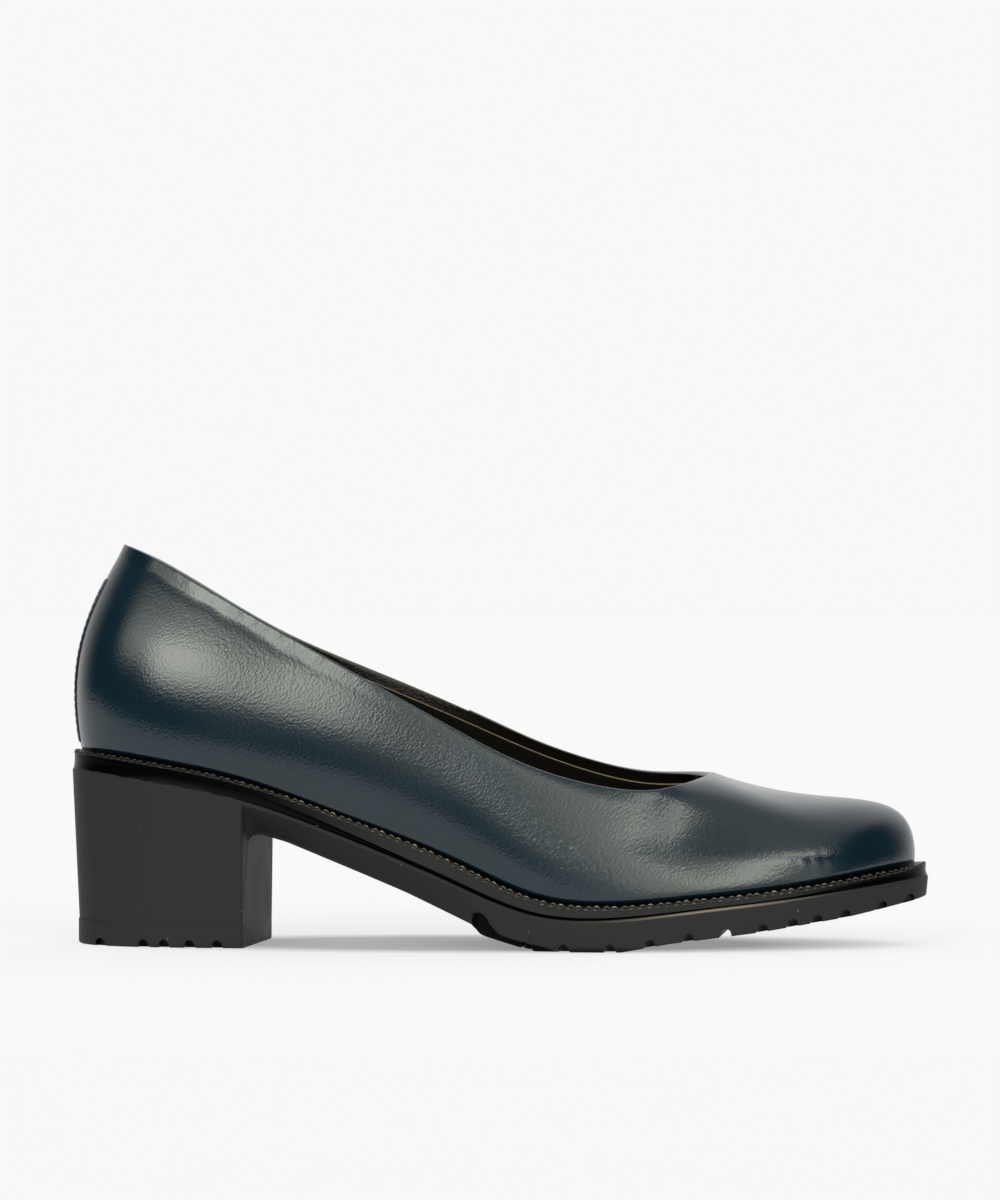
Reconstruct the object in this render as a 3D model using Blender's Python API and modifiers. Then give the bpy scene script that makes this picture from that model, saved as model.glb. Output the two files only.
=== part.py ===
"""Mid heel pump for the right foot, made up of the pieces that a shoemaker puts together.

Units are metres in the scene and millimetres in the tables. +Z is up, the toe points along +X and
the inner (medial) side of the foot faces +Y. The shoe stands on Z = 0, and the origin is under the
middle of its box.

The shoe is worked out on its last. Twelve sections cross it from heel to toe, and on each side a
section has one rib: the line that the leather follows from the sole's edge up to the topline. A
closed spline carries the columns of the tables round the shoe: heel, lateral side, toe, medial side.
"""

import bpy
import numpy as np
from mathutils import Vector

MM = 0.001

# Driving dimensions, in millimetres
LENGTH = 248.0          # back of the sole to its tip
BALL_WIDTH = 77.0       # bottom of the last across the joints, square to its length
HEEL_HEIGHT = 55.6      # floor to the top of the welt at the back
BACK_HEIGHT = 60.0      # top of the welt to the topline at the back

# Thicknesses and clearances, in millimetres
LEATHER = 1.8           # upper with its lining
WELT = 1.5
INSOLE = 3.0
BACK_STRIP = 0.6
TOP_PIECE = 7.2         # wearing lift under the heel
HEEL_TUCK = 2.0         # how far the heel block draws in from the ledge to the floor
GAP = 0.3               # between pieces that meet

# Where pieces sit beside each other, in millimetres
WELT_OFF_LEATHER = 0.8  # welt's inner edge outside the foot of the upper
INSOLE_INSET = 2.6      # insole's edge inside the foot of the upper
INSOLE_ROUND = 0.8
COVE_INSET = 0.4        # hollow under the welt, inside the welt's edge
COVE_SHARE = 0.45       # depth of that hollow's root, as a share of the rim
LEDGE_OUT = 0.7         # sole's ledge outside the welt's edge
LEDGE_LIP = 1.0         # straight part of the side under the ledge
EDGE_ROUND = 0.9        # chamfer along the sole's lower edge
STRIP_HALF_WIDTH = 6.5
STRIP_TOP = 10.0        # strip's top end below the topline
STRIP_FOOT = 4.0        # strip's lower end above the foot of the upper

# Tread slots, by the place of their lateral end in per cent of LENGTH
FOREFOOT_SLOTS = (53.8, 58.2, 63.4, 67.8, 72.1, 76.3, 80.4, 83.8, 86.5, 89.6, 93.6, 96.6)
HEEL_SLOTS = (4.2, 9.4, 11.8, 14.8, 18.0)
SLOT_RADIUS = 1.5
SLOT_SIDES = 10
SLOT_OVERRUN = 12.0     # how far a slot's cutter reaches past the sole on each side

STEPS = 4               # mesh columns from one section to the next
RIB_STEPS = 11          # mesh rows from the sole's edge to the topline
STRIP_STEPS = 4         # mesh columns across the back strip

# Sections from heel to toe. seat: top of the welt, per cent of HEEL_HEIGHT. overhang: welt past the
# upper. rim: top of the welt down to the sole's ledge. Both are in millimetres.
BREAST = 3              # section at the front of the heel block
SECTION_COLUMNS = ("seat", "overhang", "rim")
SECTIONS = (
    (100.0, 2.2, 5.0),  # heel back
    (99.4, 2.0, 5.1),   # heel corner
    (95.2, 1.9, 5.2),   # heel side
    (84.8, 2.0, 5.0),   # heel breast
    (67.7, 2.0, 5.2),   # waist
    (45.0, 2.3, 5.6),   # front of the waist
    (27.3, 2.8, 4.8),   # tread
    (23.7, 3.2, 4.0),   # joints
    (27.1, 3.3, 3.3),   # vamp
    (31.9, 3.2, 3.0),   # toe shoulder
    (38.5, 3.1, 3.4),   # toe corner
    (42.8, 3.1, 3.8),   # toe tip
)

# Ribs. foot and top: plan place of the rib's two ends, x in per cent of LENGTH and y in per cent of
# BALL_WIDTH. rise: topline above the seat, per cent of BACK_HEIGHT. out and up: how the rib leaves
# the sole. reach: share of the way back to that bulge at which it arrives under the topline. drop:
# how far below the topline it is there.
RIB_COLUMNS = ("foot_x", "foot_y", "top_x", "top_y", "rise", "out", "up", "reach", "drop")
HEEL_RIB = (1.25, 1.5, 6.2, 1.0, 100.0, 5.2, 27.0, 0.70, 21.0)
LATERAL_RIBS = (
    (3.5, -20.1, 9.0, -14.0, 96.0, 5.2, 26.0, 0.66, 20.0),
    (9.7, -31.4, 14.5, -24.0, 87.7, 4.6, 22.0, 0.60, 18.0),
    (21.0, -36.6, 24.0, -31.8, 75.0, 3.8, 18.0, 0.55, 15.0),
    (32.3, -39.0, 33.9, -38.0, 68.3, 3.8, 15.0, 0.50, 13.0),
    (45.2, -44.8, 45.2, -42.8, 63.8, 3.4, 14.0, 0.50, 12.0),
    (54.8, -50.6, 55.4, -46.5, 60.5, 3.0, 13.0, 0.45, 12.0),
    (63.3, -53.2, 65.0, -45.0, 54.7, 1.7, 11.0, 0.42, 12.0),
    (73.0, -50.9, 70.7, -36.5, 52.7, 0.9, 8.5, 0.38, 10.0),
    (83.2, -43.6, 73.4, -22.5, 51.5, 1.1, 11.5, 0.60, 6.5),
    (92.4, -29.5, 74.5, -10.5, 47.0, 1.6, 20.0, 0.56, 11.0),
)
TOE_RIB = (98.5, 1.3, 74.8, 1.3, 43.5, 1.9, 30.0, 0.56, 14.8)
MEDIAL_RIBS = (
    (3.9, 20.5, 9.1, 14.8, 94.8, 5.2, 26.0, 0.66, 20.0),
    (10.9, 27.9, 14.9, 21.4, 84.6, 4.8, 22.0, 0.60, 18.0),
    (22.7, 25.6, 24.4, 26.4, 71.4, 5.5, 18.0, 0.55, 15.0),
    (34.7, 22.7, 34.7, 31.5, 68.5, 8.0, 16.0, 0.50, 13.0),
    (46.8, 29.2, 46.0, 34.5, 69.7, 6.5, 15.0, 0.52, 12.0),
    (57.3, 38.3, 56.0, 37.0, 68.7, 4.5, 15.0, 0.48, 12.0),
    (66.5, 44.8, 65.2, 38.0, 61.5, 2.4, 12.0, 0.44, 12.0),
    (75.0, 46.2, 70.8, 32.5, 57.2, 1.8, 13.0, 0.46, 9.0),
    (85.2, 41.4, 73.5, 22.0, 53.0, 1.8, 16.0, 0.56, 7.0),
    (93.9, 27.6, 74.5, 11.8, 47.1, 1.8, 23.0, 0.58, 10.5),
)

# Underside of the waist and tread. place: lateral end, per cent of LENGTH. height: above the floor.
# tuck: how far the lower edge is drawn in from the ledge. Both are in millimetres.
UNDERSIDE_COLUMNS = ("place", "height", "tuck")
UNDERSIDE = (
    (21.0, 33.2, 12.0),  # top of the heel breast
    (25.6, 30.0, 10.8),
    (39.5, 16.2, 6.0),
    (46.6, 9.2, 3.2),    # back of the tread
    (48.0, 4.8, 2.6),
    (51.0, 2.2, 1.6),
    (54.0, 0.0, 1.0),    # flat spot under the joints
    (64.6, 0.0, 0.8),
    (70.0, 2.4, 0.8),
    (80.0, 5.4, 0.8),
    (90.0, 9.4, 0.7),
    (98.5, 14.0, 0.4),   # toe spring
)

TOE = len(SECTIONS) - 1
ROUND = 2 * TOE         # rows in the closed loop: heel, lateral side, toe, medial side

# Colours, linear, with roughness
NAVY_LEATHER = ((0.010, 0.024, 0.042), 0.35)
BLACK_RUBBER = ((0.028, 0.028, 0.028), 0.60)
BLACK_WELT = ((0.020, 0.020, 0.019), 0.40)
BROWN_SOCK = ((0.022, 0.017, 0.013), 0.70)


def closed_spline(knots, rows, at):
    """Cubic spline of continuous curvature through rows, one per knot; the last knot closes the loop."""
    span = np.diff(knots)[:, None]
    slope = (np.roll(rows, -1, 0) - rows) / span
    here = np.arange(len(rows))
    after = (here + 1) % len(rows)
    before = here - 1
    matrix = np.zeros((len(rows), len(rows)))
    matrix[here, here] = 2 * (span[before] + span)[:, 0]
    matrix[here, after] = span[:, 0]
    matrix[here, before] = span[before][:, 0]
    bend = np.linalg.solve(matrix, 6 * (slope - slope[before]))
    i = np.clip(np.searchsorted(knots, at, side="right") - 1, 0, len(rows) - 1)
    b = (at - knots[i])[:, None] / span[i]
    a = 1 - b
    curve = (a**3 - a) * bend[i] + (b**3 - b) * bend[after[i]]
    return a * rows[i] + b * rows[after[i]] + curve * span[i] ** 2 / 6


def table_rows():
    """The tables as one loop of rows in millimetres: heel, lateral side, toe, medial side."""
    ribs = (HEEL_RIB, *LATERAL_RIBS, TOE_RIB, *MEDIAL_RIBS[::-1])
    sections = (*SECTIONS, *SECTIONS[-2:0:-1])
    rows = np.array([rib + section for rib, section in zip(ribs, sections)])
    scale = dict.fromkeys(RIB_COLUMNS + SECTION_COLUMNS, 1.0)
    scale.update(foot_x=LENGTH / 100, top_x=LENGTH / 100)
    scale.update(foot_y=BALL_WIDTH / 100, top_y=BALL_WIDTH / 100)
    scale.update(seat=HEEL_HEIGHT / 100, rise=BACK_HEIGHT / 100)
    return rows * np.array(list(scale.values()))


ROWS = table_rows()
CHORDS = np.linalg.norm(np.roll(ROWS, -1, 0)[:, :2] - ROWS[:, :2], axis=1)
KNOTS = np.concatenate([[0], np.cumsum(CHORDS)])


def columns_at(loop):
    """Every table column at places round the loop, counted in sections, and the outline's normal."""
    def values(place):
        return closed_spline(KNOTS, ROWS, np.interp(place % ROUND, np.arange(ROUND + 1), KNOTS))

    nudge = 1e-3
    along = values(loop + nudge)[:, :2] - values(loop - nudge)[:, :2]
    columns = dict(zip(RIB_COLUMNS + SECTION_COLUMNS, values(loop).T))
    across = np.column_stack([along[:, 1], -along[:, 0]])
    columns["normal"] = across / np.linalg.norm(across, axis=1)[:, None]
    return columns


def loop_of(stations):
    """Places round the loop for stations from heel to toe, or to a section short of the toe."""
    back = stations[-2:0:-1] if stations[-1] == TOE else stations[:0:-1]
    return np.concatenate([stations, ROUND - back])


def lateral_x(stations):
    return columns_at(np.asarray(stations, float))["foot_x"]


def station_at(place):
    """The station whose lateral end is at this percentage of LENGTH."""
    fine = np.linspace(0, TOE, 40 * TOE + 1)
    return np.interp(place * LENGTH / 100, lateral_x(fine), fine)


def underside(stations, column):
    """A column of the underside's table, in front of the heel."""
    table = dict(zip(UNDERSIDE_COLUMNS, np.array(UNDERSIDE).T))
    return np.interp(lateral_x(stations), table["place"] * LENGTH / 100, table[column])


def ring(columns, offset, height):
    """The outline moved out by offset, at a height: one closed ring of points."""
    foot = np.column_stack([columns["foot_x"], columns["foot_y"]])
    plan = foot + columns["normal"] * np.broadcast_to(offset, len(foot))[:, None]
    return np.column_stack([plan, np.broadcast_to(height, len(foot))])


def sole_top(columns):
    """Height of the sole's top, which carries the welt, the upper and the insole."""
    return columns["seat"] - WELT - GAP


def rib_points(columns, steps):
    """Outer face of the upper: each rib is a Bezier curve from the sole's edge to the topline."""
    foot = ring(columns, 0, sole_top(columns) + GAP)
    bulge = ring(columns, columns["out"], foot[:, 2] + columns["up"])
    top = np.column_stack([columns["top_x"], columns["top_y"], columns["seat"] + columns["rise"]])
    under = top + columns["reach"][:, None] * (bulge - top)
    under[:, 2] = top[:, 2] - columns["drop"]
    h = np.asarray(steps)[:, None, None]
    lower = foot * (1 - h) ** 3 + 3 * bulge * h * (1 - h) ** 2
    return lower + 3 * under * h**2 * (1 - h) + top * h**3


def material(name, finish):
    (red, green, blue), roughness = finish
    made = bpy.data.materials.new(name)
    made.use_nodes = True
    shader = made.node_tree.nodes["Principled BSDF"]
    shader.inputs["Base Color"].default_value = (red, green, blue, 1)
    shader.inputs["Roughness"].default_value = roughness
    return made


def ladder(count, upward):
    """Faces that close a ring, rung by rung from the heel to the far end."""
    rungs = (count - 1) // 2
    faces = [(0, 1, count - 1)]
    faces += [(j, j + 1, count - j - 1, count - j) for j in range(1, rungs)]
    if count % 2 == 0:
        faces.append((rungs, rungs + 1, rungs + 2))
    return faces if upward else [face[::-1] for face in faces]


def loft(name, rings, finish, ends="caps", wraps=True):
    """A named object through rings of points. ends: caps, tube (last ring joins the first) or open."""
    rings = np.asarray(rings)
    levels, count = rings.shape[:2]
    faces = []
    for level in range(levels if ends == "tube" else levels - 1):
        low, high = level * count, (level + 1) % levels * count
        for i in range(count if wraps else count - 1):
            j = (i + 1) % count
            faces.append((low + i, low + j, high + j, high + i))
    if ends == "caps":
        faces += ladder(count, upward=False)
        faces += [tuple((levels - 1) * count + i for i in face) for face in ladder(count, upward=True)]
    mesh = bpy.data.meshes.new(name)
    mesh.from_pydata((rings.reshape(-1, 3) * MM).tolist(), [], faces)
    mesh.materials.append(finish)
    mesh.shade_smooth()
    mesh.set_sharp_from_angle(angle=np.radians(35))
    made = bpy.data.objects.new(name, mesh)
    PIECES.objects.link(made)
    made.parent = SHOE
    return made


def solidify(obj, thickness, outward):
    shell = obj.modifiers.new("wall", "SOLIDIFY")
    shell.thickness = thickness * MM
    shell.offset = 1 if outward else -1
    shell.use_even_offset = True


def upper(stations):
    """Hollow leather upper, open at the topline and underneath."""
    ribs = rib_points(columns_at(loop_of(stations)), np.linspace(0, 1, RIB_STEPS + 1))
    shell = loft("upper", ribs, LEATHER_FINISH, ends="open")
    solidify(shell, LEATHER, outward=False)


def back_strip():
    """Strip over the back seam: a patch of the upper's own surface, lifted off it."""
    places = columns_at(np.linspace(-1, 1, 41))
    across = np.cumsum(np.hypot(np.diff(places["foot_x"]), np.diff(places["foot_y"])))
    across = np.concatenate([[0], across]) - across[len(across) // 2 - 1]
    widths = np.linspace(-STRIP_HALF_WIDTH, STRIP_HALF_WIDTH, STRIP_STEPS + 1)
    columns = columns_at(np.interp(widths, across, np.linspace(-1, 1, 41)))
    height = np.linspace(0, 1, 101)
    climb = rib_points(columns, height)[:, STRIP_STEPS // 2, 2]
    ends = np.interp([climb[0] + STRIP_FOOT, climb[-1] - STRIP_TOP], climb, height)
    patch = rib_points(columns, np.linspace(*ends, RIB_STEPS + 1))
    strip = loft("back_strip", patch, LEATHER_FINISH, ends="open", wraps=False)
    lift = strip.modifiers.new("clear of the upper", "DISPLACE")
    lift.strength = GAP * MM
    lift.mid_level = 0
    solidify(strip, BACK_STRIP, outward=True)


def welt(stations):
    """Flat strip round the foot of the upper, on the rim of the sole."""
    columns = columns_at(loop_of(stations))
    low, high = sole_top(columns) + GAP, columns["seat"]
    section = [(WELT_OFF_LEATHER, low), (columns["overhang"], low)]
    section += [(columns["overhang"], high), (WELT_OFF_LEATHER, high)]
    rings = [ring(columns, offset, height) for offset, height in section]
    loft("welt", rings, WELT_FINISH, ends="tube")


def insole(stations):
    """Insole with its sock, inside the foot of the upper."""
    columns = columns_at(loop_of(stations))
    low = sole_top(columns) + GAP
    section = [(INSOLE_INSET, low), (INSOLE_INSET, low + INSOLE - INSOLE_ROUND)]
    section.append((INSOLE_INSET + INSOLE_ROUND, low + INSOLE))
    loft("insole", [ring(columns, -inset, height) for inset, height in section], SOCK_FINISH)


def sole_side(columns, base, tuck):
    """Rings of the sole unit from its lower edge up: chamfer, side, ledge, cove under the welt, top."""
    edge = columns["overhang"]
    ledge = columns["seat"] - columns["rim"]
    cove = sole_top(columns) - COVE_SHARE * columns["rim"]
    return [
        ring(columns, edge + LEDGE_OUT - tuck - EDGE_ROUND, base),
        ring(columns, edge + LEDGE_OUT - tuck, base + EDGE_ROUND),
        ring(columns, edge + LEDGE_OUT, ledge - LEDGE_LIP),
        ring(columns, edge + LEDGE_OUT, ledge),
        ring(columns, edge - COVE_INSET, cove),
        ring(columns, edge - COVE_INSET, sole_top(columns)),
    ]


def sole_unit(stations):
    """Sole and heel moulded in one: heel block to the breast, then waist, tread and toe spring."""
    just_ahead = BREAST + 0.01
    loop = loop_of(np.sort(np.append(stations, just_ahead)))
    station = np.minimum(loop, ROUND - loop)
    in_heel = station <= BREAST
    base = np.where(in_heel, TOP_PIECE + GAP, underside(station, "height"))
    tuck = np.where(in_heel, HEEL_TUCK, underside(station, "tuck"))
    return loft("sole_unit", sole_side(columns_at(loop), base, tuck), RUBBER_FINISH)


def heel_top_piece(stations):
    """Wearing lift of the heel, square at the breast."""
    columns = columns_at(loop_of(stations[stations <= BREAST]))
    side = columns["overhang"] + LEDGE_OUT - HEEL_TUCK
    section = [(side - EDGE_ROUND, 0.0), (side, EDGE_ROUND), (side, TOP_PIECE)]
    rings = [ring(columns, offset, height) for offset, height in section]
    return loft("heel_top_piece", rings, RUBBER_FINISH)


def cut_slots(piece, places, heights):
    """Round-bottomed tread slots across a piece, a bar for each."""
    for number, (place, height) in enumerate(zip(places, heights)):
        station = station_at(place)
        ends = columns_at(np.array([station, ROUND - station]))
        lateral, medial = (Vector(p) * MM for p in ring(ends, SLOT_OVERRUN, height))
        bpy.ops.mesh.primitive_cylinder_add(
            vertices=SLOT_SIDES, radius=SLOT_RADIUS * MM, depth=(medial - lateral).length
        )
        bar = bpy.context.object
        bar.name = f"{piece.name}_slot_{number + 1}"
        bar.rotation_mode = "QUATERNION"
        bar.rotation_quaternion = (medial - lateral).to_track_quat("Z", "Y")
        bar.location = (lateral + medial) / 2
        bar.parent = SHOE
        bar.hide_render = True
        bar.display_type = "WIRE"
        for collection in bar.users_collection:
            collection.objects.unlink(bar)
        CUTTERS.objects.link(bar)
        cut = piece.modifiers.new(bar.name, "BOOLEAN")
        cut.operation = "DIFFERENCE"
        cut.solver = "EXACT"
        cut.object = bar


def middle_of(piece):
    """Middle of a piece's box in plan."""
    corners = np.array([vertex.co for vertex in piece.data.vertices])
    low, high = corners.min(0), corners.max(0)
    return (low + high) / 2


for old in list(bpy.data.objects):
    bpy.data.objects.remove(old)
PIECES = bpy.data.collections.new("mid_heel_pump")
CUTTERS = bpy.data.collections.new("cutters")
SHOE = bpy.data.objects.new("shoe", None)
for collection in (PIECES, CUTTERS):
    bpy.context.scene.collection.children.link(collection)
PIECES.objects.link(SHOE)

LEATHER_FINISH = material("navy leather", NAVY_LEATHER)
RUBBER_FINISH = material("black rubber", BLACK_RUBBER)
WELT_FINISH = material("black welt", BLACK_WELT)
SOCK_FINISH = material("brown sock leather", BROWN_SOCK)

ALL_STATIONS = np.linspace(0, TOE, STEPS * TOE + 1)
TREAD_STATIONS = [station_at(place) for place, height, tuck in UNDERSIDE[3:8]]
SOLE_STATIONS = np.unique(np.round(np.concatenate([ALL_STATIONS, TREAD_STATIONS]), 3))

upper(ALL_STATIONS)
back_strip()
welt(ALL_STATIONS)
insole(ALL_STATIONS)
top_piece = heel_top_piece(ALL_STATIONS)
sole = sole_unit(SOLE_STATIONS)
middle = middle_of(sole)
SHOE.location = (-middle[0], -middle[1], 0)
cut_slots(top_piece, HEEL_SLOTS, [0.0] * len(HEEL_SLOTS))
cut_slots(sole, FOREFOOT_SLOTS, underside([station_at(place) for place in FOREFOOT_SLOTS], "height"))
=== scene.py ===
"""Looks of the mid heel pump: grained navy upper, lining, rope-stitched welt, slotted rubber sole, sock.

Tables and formulas are in millimetres on the last's own ruler: x from the back of the heel to the toe,
y towards the inner side of the foot, z up from the floor. A place round the shoe is counted in sections,
heel 0, lateral side 1 to 10, toe 11, medial side 12 to 21, and 22 is the heel again.
"""

import math

import bmesh
import bpy
import numpy as np
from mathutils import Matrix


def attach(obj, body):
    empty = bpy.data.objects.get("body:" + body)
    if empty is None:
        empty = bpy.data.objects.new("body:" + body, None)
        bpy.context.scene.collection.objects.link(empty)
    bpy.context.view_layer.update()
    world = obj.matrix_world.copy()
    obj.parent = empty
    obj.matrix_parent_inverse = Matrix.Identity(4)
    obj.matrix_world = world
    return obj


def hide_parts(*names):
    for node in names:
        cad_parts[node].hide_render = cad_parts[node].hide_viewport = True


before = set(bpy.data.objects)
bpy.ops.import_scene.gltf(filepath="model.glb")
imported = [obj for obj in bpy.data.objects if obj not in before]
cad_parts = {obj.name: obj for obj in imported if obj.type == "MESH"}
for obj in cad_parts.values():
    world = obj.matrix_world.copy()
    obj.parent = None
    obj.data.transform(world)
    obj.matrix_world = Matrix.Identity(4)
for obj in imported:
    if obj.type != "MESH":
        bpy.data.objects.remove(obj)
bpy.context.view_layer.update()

MM = 0.001
UP = np.array([0, 0, 1.0])
LAST_MIDDLE = np.array([124.142, -2.631, 0.0])  # middle of the sole's box, on the last's ruler

# Driving dimensions of the shoe
LENGTH = 248.0
BALL_WIDTH = 77.0
HEEL_HEIGHT = 55.6
BACK_HEIGHT = 60.0
LEATHER = 1.8
WELT = 1.5
INSOLE = 3.0
TOP_PIECE = 7.2
HEEL_TUCK = 2.0
GAP = 0.3
LEDGE_OUT = 0.7
LEDGE_LIP = 1.0
EDGE_ROUND = 0.9
INSOLE_INSET = 2.6

FOREFOOT_SLOTS = (53.8, 58.2, 63.4, 67.8, 72.1, 76.3, 80.4, 83.8, 86.5, 89.6, 93.6, 96.6)
HEEL_SLOTS = (4.2, 9.4, 11.8, 14.8, 18.0)

# The last's sections: seat height, welt past the upper, welt's top down to the sole's ledge
BREAST = 3
SECTION_COLUMNS = ("seat", "overhang", "rim")
SECTIONS = (
    (100.0, 2.2, 5.0),
    (99.4, 2.0, 5.1),
    (95.2, 1.9, 5.2),
    (84.8, 2.0, 5.0),
    (67.7, 2.0, 5.2),
    (45.0, 2.3, 5.6),
    (27.3, 2.8, 4.8),
    (23.7, 3.2, 4.0),
    (27.1, 3.3, 3.3),
    (31.9, 3.2, 3.0),
    (38.5, 3.1, 3.4),
    (42.8, 3.1, 3.8),
)

# The last's ribs: plan of foot and top, rise of the topline, and how the leather bends between them
RIB_COLUMNS = ("foot_x", "foot_y", "top_x", "top_y", "rise", "out", "up", "reach", "drop")
HEEL_RIB = (1.25, 1.5, 6.2, 1.0, 100.0, 5.2, 27.0, 0.70, 21.0)
LATERAL_RIBS = (
    (3.5, -20.1, 9.0, -14.0, 96.0, 5.2, 26.0, 0.66, 20.0),
    (9.7, -31.4, 14.5, -24.0, 87.7, 4.6, 22.0, 0.60, 18.0),
    (21.0, -36.6, 24.0, -31.8, 75.0, 3.8, 18.0, 0.55, 15.0),
    (32.3, -39.0, 33.9, -38.0, 68.3, 3.8, 15.0, 0.50, 13.0),
    (45.2, -44.8, 45.2, -42.8, 63.8, 3.4, 14.0, 0.50, 12.0),
    (54.8, -50.6, 55.4, -46.5, 60.5, 3.0, 13.0, 0.45, 12.0),
    (63.3, -53.2, 65.0, -45.0, 54.7, 1.7, 11.0, 0.42, 12.0),
    (73.0, -50.9, 70.7, -36.5, 52.7, 0.9, 8.5, 0.38, 10.0),
    (83.2, -43.6, 73.4, -22.5, 51.5, 1.1, 11.5, 0.60, 6.5),
    (92.4, -29.5, 74.5, -10.5, 47.0, 1.6, 20.0, 0.56, 11.0),
)
TOE_RIB = (98.5, 1.3, 74.8, 1.3, 43.5, 1.9, 30.0, 0.56, 14.8)
MEDIAL_RIBS = (
    (3.9, 20.5, 9.1, 14.8, 94.8, 5.2, 26.0, 0.66, 20.0),
    (10.9, 27.9, 14.9, 21.4, 84.6, 4.8, 22.0, 0.60, 18.0),
    (22.7, 25.6, 24.4, 26.4, 71.4, 5.5, 18.0, 0.55, 15.0),
    (34.7, 22.7, 34.7, 31.5, 68.5, 8.0, 16.0, 0.50, 13.0),
    (46.8, 29.2, 46.0, 34.5, 69.7, 6.5, 15.0, 0.52, 12.0),
    (57.3, 38.3, 56.0, 37.0, 68.7, 4.5, 15.0, 0.48, 12.0),
    (66.5, 44.8, 65.2, 38.0, 61.5, 2.4, 12.0, 0.44, 12.0),
    (75.0, 46.2, 70.8, 32.5, 57.2, 1.8, 13.0, 0.46, 9.0),
    (85.2, 41.4, 73.5, 22.0, 53.0, 1.8, 16.0, 0.56, 7.0),
    (93.9, 27.6, 74.5, 11.8, 47.1, 1.8, 23.0, 0.58, 10.5),
)

# Underside of the waist and tread: lateral place, height above the floor, lower edge inside the ledge
UNDERSIDE_ROUND = 0.5
UNDERSIDE_COLUMNS = ("place", "height", "tuck")
UNDERSIDE = (
    (21.0, 33.2, 12.0),
    (25.6, 30.0, 10.8),
    (39.5, 16.2, 6.0),
    (47.6, 7.2, 3.0),
    (47.8, 5.8, 2.8),
    (48.2, 4.7, 2.6),
    (48.8, 4.0, 2.4),
    (50.8, 2.6, 1.6),
    (52.8, 1.2, 1.2),
    (54.8, 0.0, 1.0),
    (64.6, 0.0, 0.8),
    (70.0, 2.4, 0.8),
    (80.0, 5.4, 0.8),
    (90.0, 9.4, 0.7),
    (98.5, 14.0, 0.4),
)

TOE = len(SECTIONS) - 1
ROUND = 2 * TOE

# Leather
WELT_DROP = 0.7           # the worn welt lies this much lower along the forefoot
FEATHER_DEPTH = 1.5       # how far the leather turns in above the welt
FEATHER_AT_ENDS = 0.2     # and at the middle of heel and toe
FEATHER_HEIGHT = 2.4
ROLL_HEIGHT = 0.35        # the wall's own height taken by its rounded topline
ROLL_SQUARE = 0.6         # below 1 the rounding is squarer than a half circle
FACING = 3.7              # leather turned over inside the topline
LINING_GAP = 0.05         # between leather and lining
LINING_THICK = 0.45
EDGE_RADIUS = 0.22        # the lining's raw edge
SEAM_PLACE = 17           # medial side seam, front over back
SEAM_STEP = 0.45
SEAM_FADE = (3.0, 26.0)   # the step dies away between these distances in front of the seam
SEAM_MARGIN = 1.8         # from the seam to its row of stitches
WEAR = (158.0, 30.0)      # middle and half length of the stretch that bends in wear
PAINTED_EDGE_HIGHLIGHT = (100.0, 150.0)  # from here on the topline's cut edge carries a painted highlight
STRIP_HALF = 6.5          # strip over the back seam: half width, length, and how far it stays from
STRIP_TALL = 48.0         # the welt and from the topline
STRIP_FOOT = 4.0
STRIP_HEAD = 10.0
STRIP_STITCH = 5.0        # its two rows of stitches, from its middle
STRIP_EDGE = 0.15         # its thickness at the edge, and what it gains within STRIP_ROUND of it
STRIP_GAIN = 0.3
STRIP_ROUND = 0.5

# Folded edge under the topline, heel to throat: width, outward tilt, hollow below it, inward curl, puckers
FOLD_COLUMNS = ("x", "width", "tilt", "hollow", "curl", "pucker")
FOLD = (
    (0, 3.4, 0.02, 0.02, 0.00, 0.00),
    (15, 3.4, 0.07, 0.03, 0.00, 0.01),
    (24, 3.6, 0.16, 0.06, 0.00, 0.03),
    (36, 3.8, 0.14, 0.07, 0.00, 0.04),
    (50, 3.8, 0.10, 0.07, 0.00, 0.05),
    (62, 3.8, 0.06, 0.07, 0.00, 0.04),
    (76, 3.6, 0.03, 0.06, 0.00, 0.03),
    (90, 3.2, 0.01, 0.05, 0.06, 0.02),
    (116, 4.2, 0.02, 0.02, 0.45, 0.01),
    (150, 4.6, 0.00, 0.00, 0.55, 0.01),
    (176, 3.4, 0.00, 0.00, 0.30, 0.00),
    (186, 3.0, 0.00, 0.00, 0.10, 0.00),
)

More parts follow.
